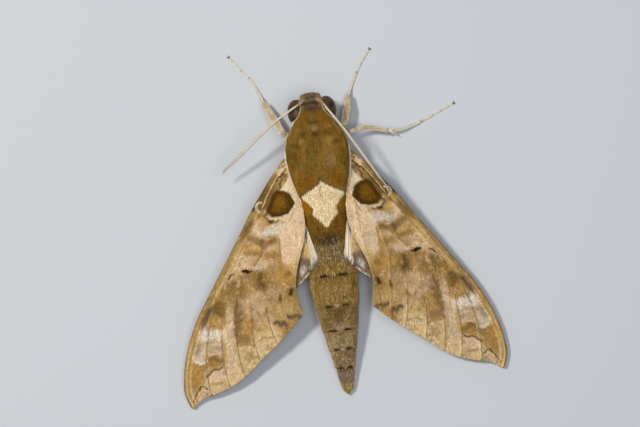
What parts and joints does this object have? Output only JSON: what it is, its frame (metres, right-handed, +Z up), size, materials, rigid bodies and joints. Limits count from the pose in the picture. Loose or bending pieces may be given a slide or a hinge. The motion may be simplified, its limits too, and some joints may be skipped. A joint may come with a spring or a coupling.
{
  "type": "hawk moth",
  "caption": "Life-size hawk moth at rest on a flat surface, wings swept back and roofed, forelegs and one middle leg reaching forward.",
  "frame": {"origin": "on the surface that the moth rests on, under the middle of its bounding box", "axes": "+Y forward along the body towards the head, +X to the moth's right, +Z up"},
  "size_m": [0.0594, 0.0634, 0.0122],
  "materials": {
    "head_fur": "short velvety brown scales, darker between the feelers",
    "thorax_fur": "velvety olive-brown shield with a cream edge and a cream patch behind",
    "abdomen_scales": "flat olive-grey scales with paired dark dashes at the joints",
    "palp_scales": "short orange-tan scales with a cream edge",
    "eye": "glossy dark brown compound eye",
    "feeler": "ringed cream feeler with a fine comb below",
    "tongue": "ridged horn-brown rolled tongue",
    "leg_scales": "cream scales with dark joints and claws",
    "wing_scales": "matt ochre and cream scales with brown bands, dark spots and thin dark veins"
  },
  "bodies": {
    "root": {"head": "head_fur", "thorax": "thorax_fur", "abdomen": "abdomen_scales", "tegula_left": "thorax_fur", "tegula_right": "thorax_fur", "palp_left": "palp_scales", "palp_right": "palp_scales", "eye_left": "eye", "eye_right": "eye", "antenna_left": "feeler", "antenna_right": "feeler", "proboscis": "tongue", "foreleg_left": "leg_scales", "foreleg_right": "leg_scales", "midleg_left": "leg_scales", "midleg_right": "leg_scales", "hindleg_left": "leg_scales", "hindleg_right": "leg_scales", "forewing_left": "wing_scales", "forewing_right": "wing_scales", "hindwing_left": "wing_scales", "hindwing_right": "wing_scales"}
  },
  "joints": []
}
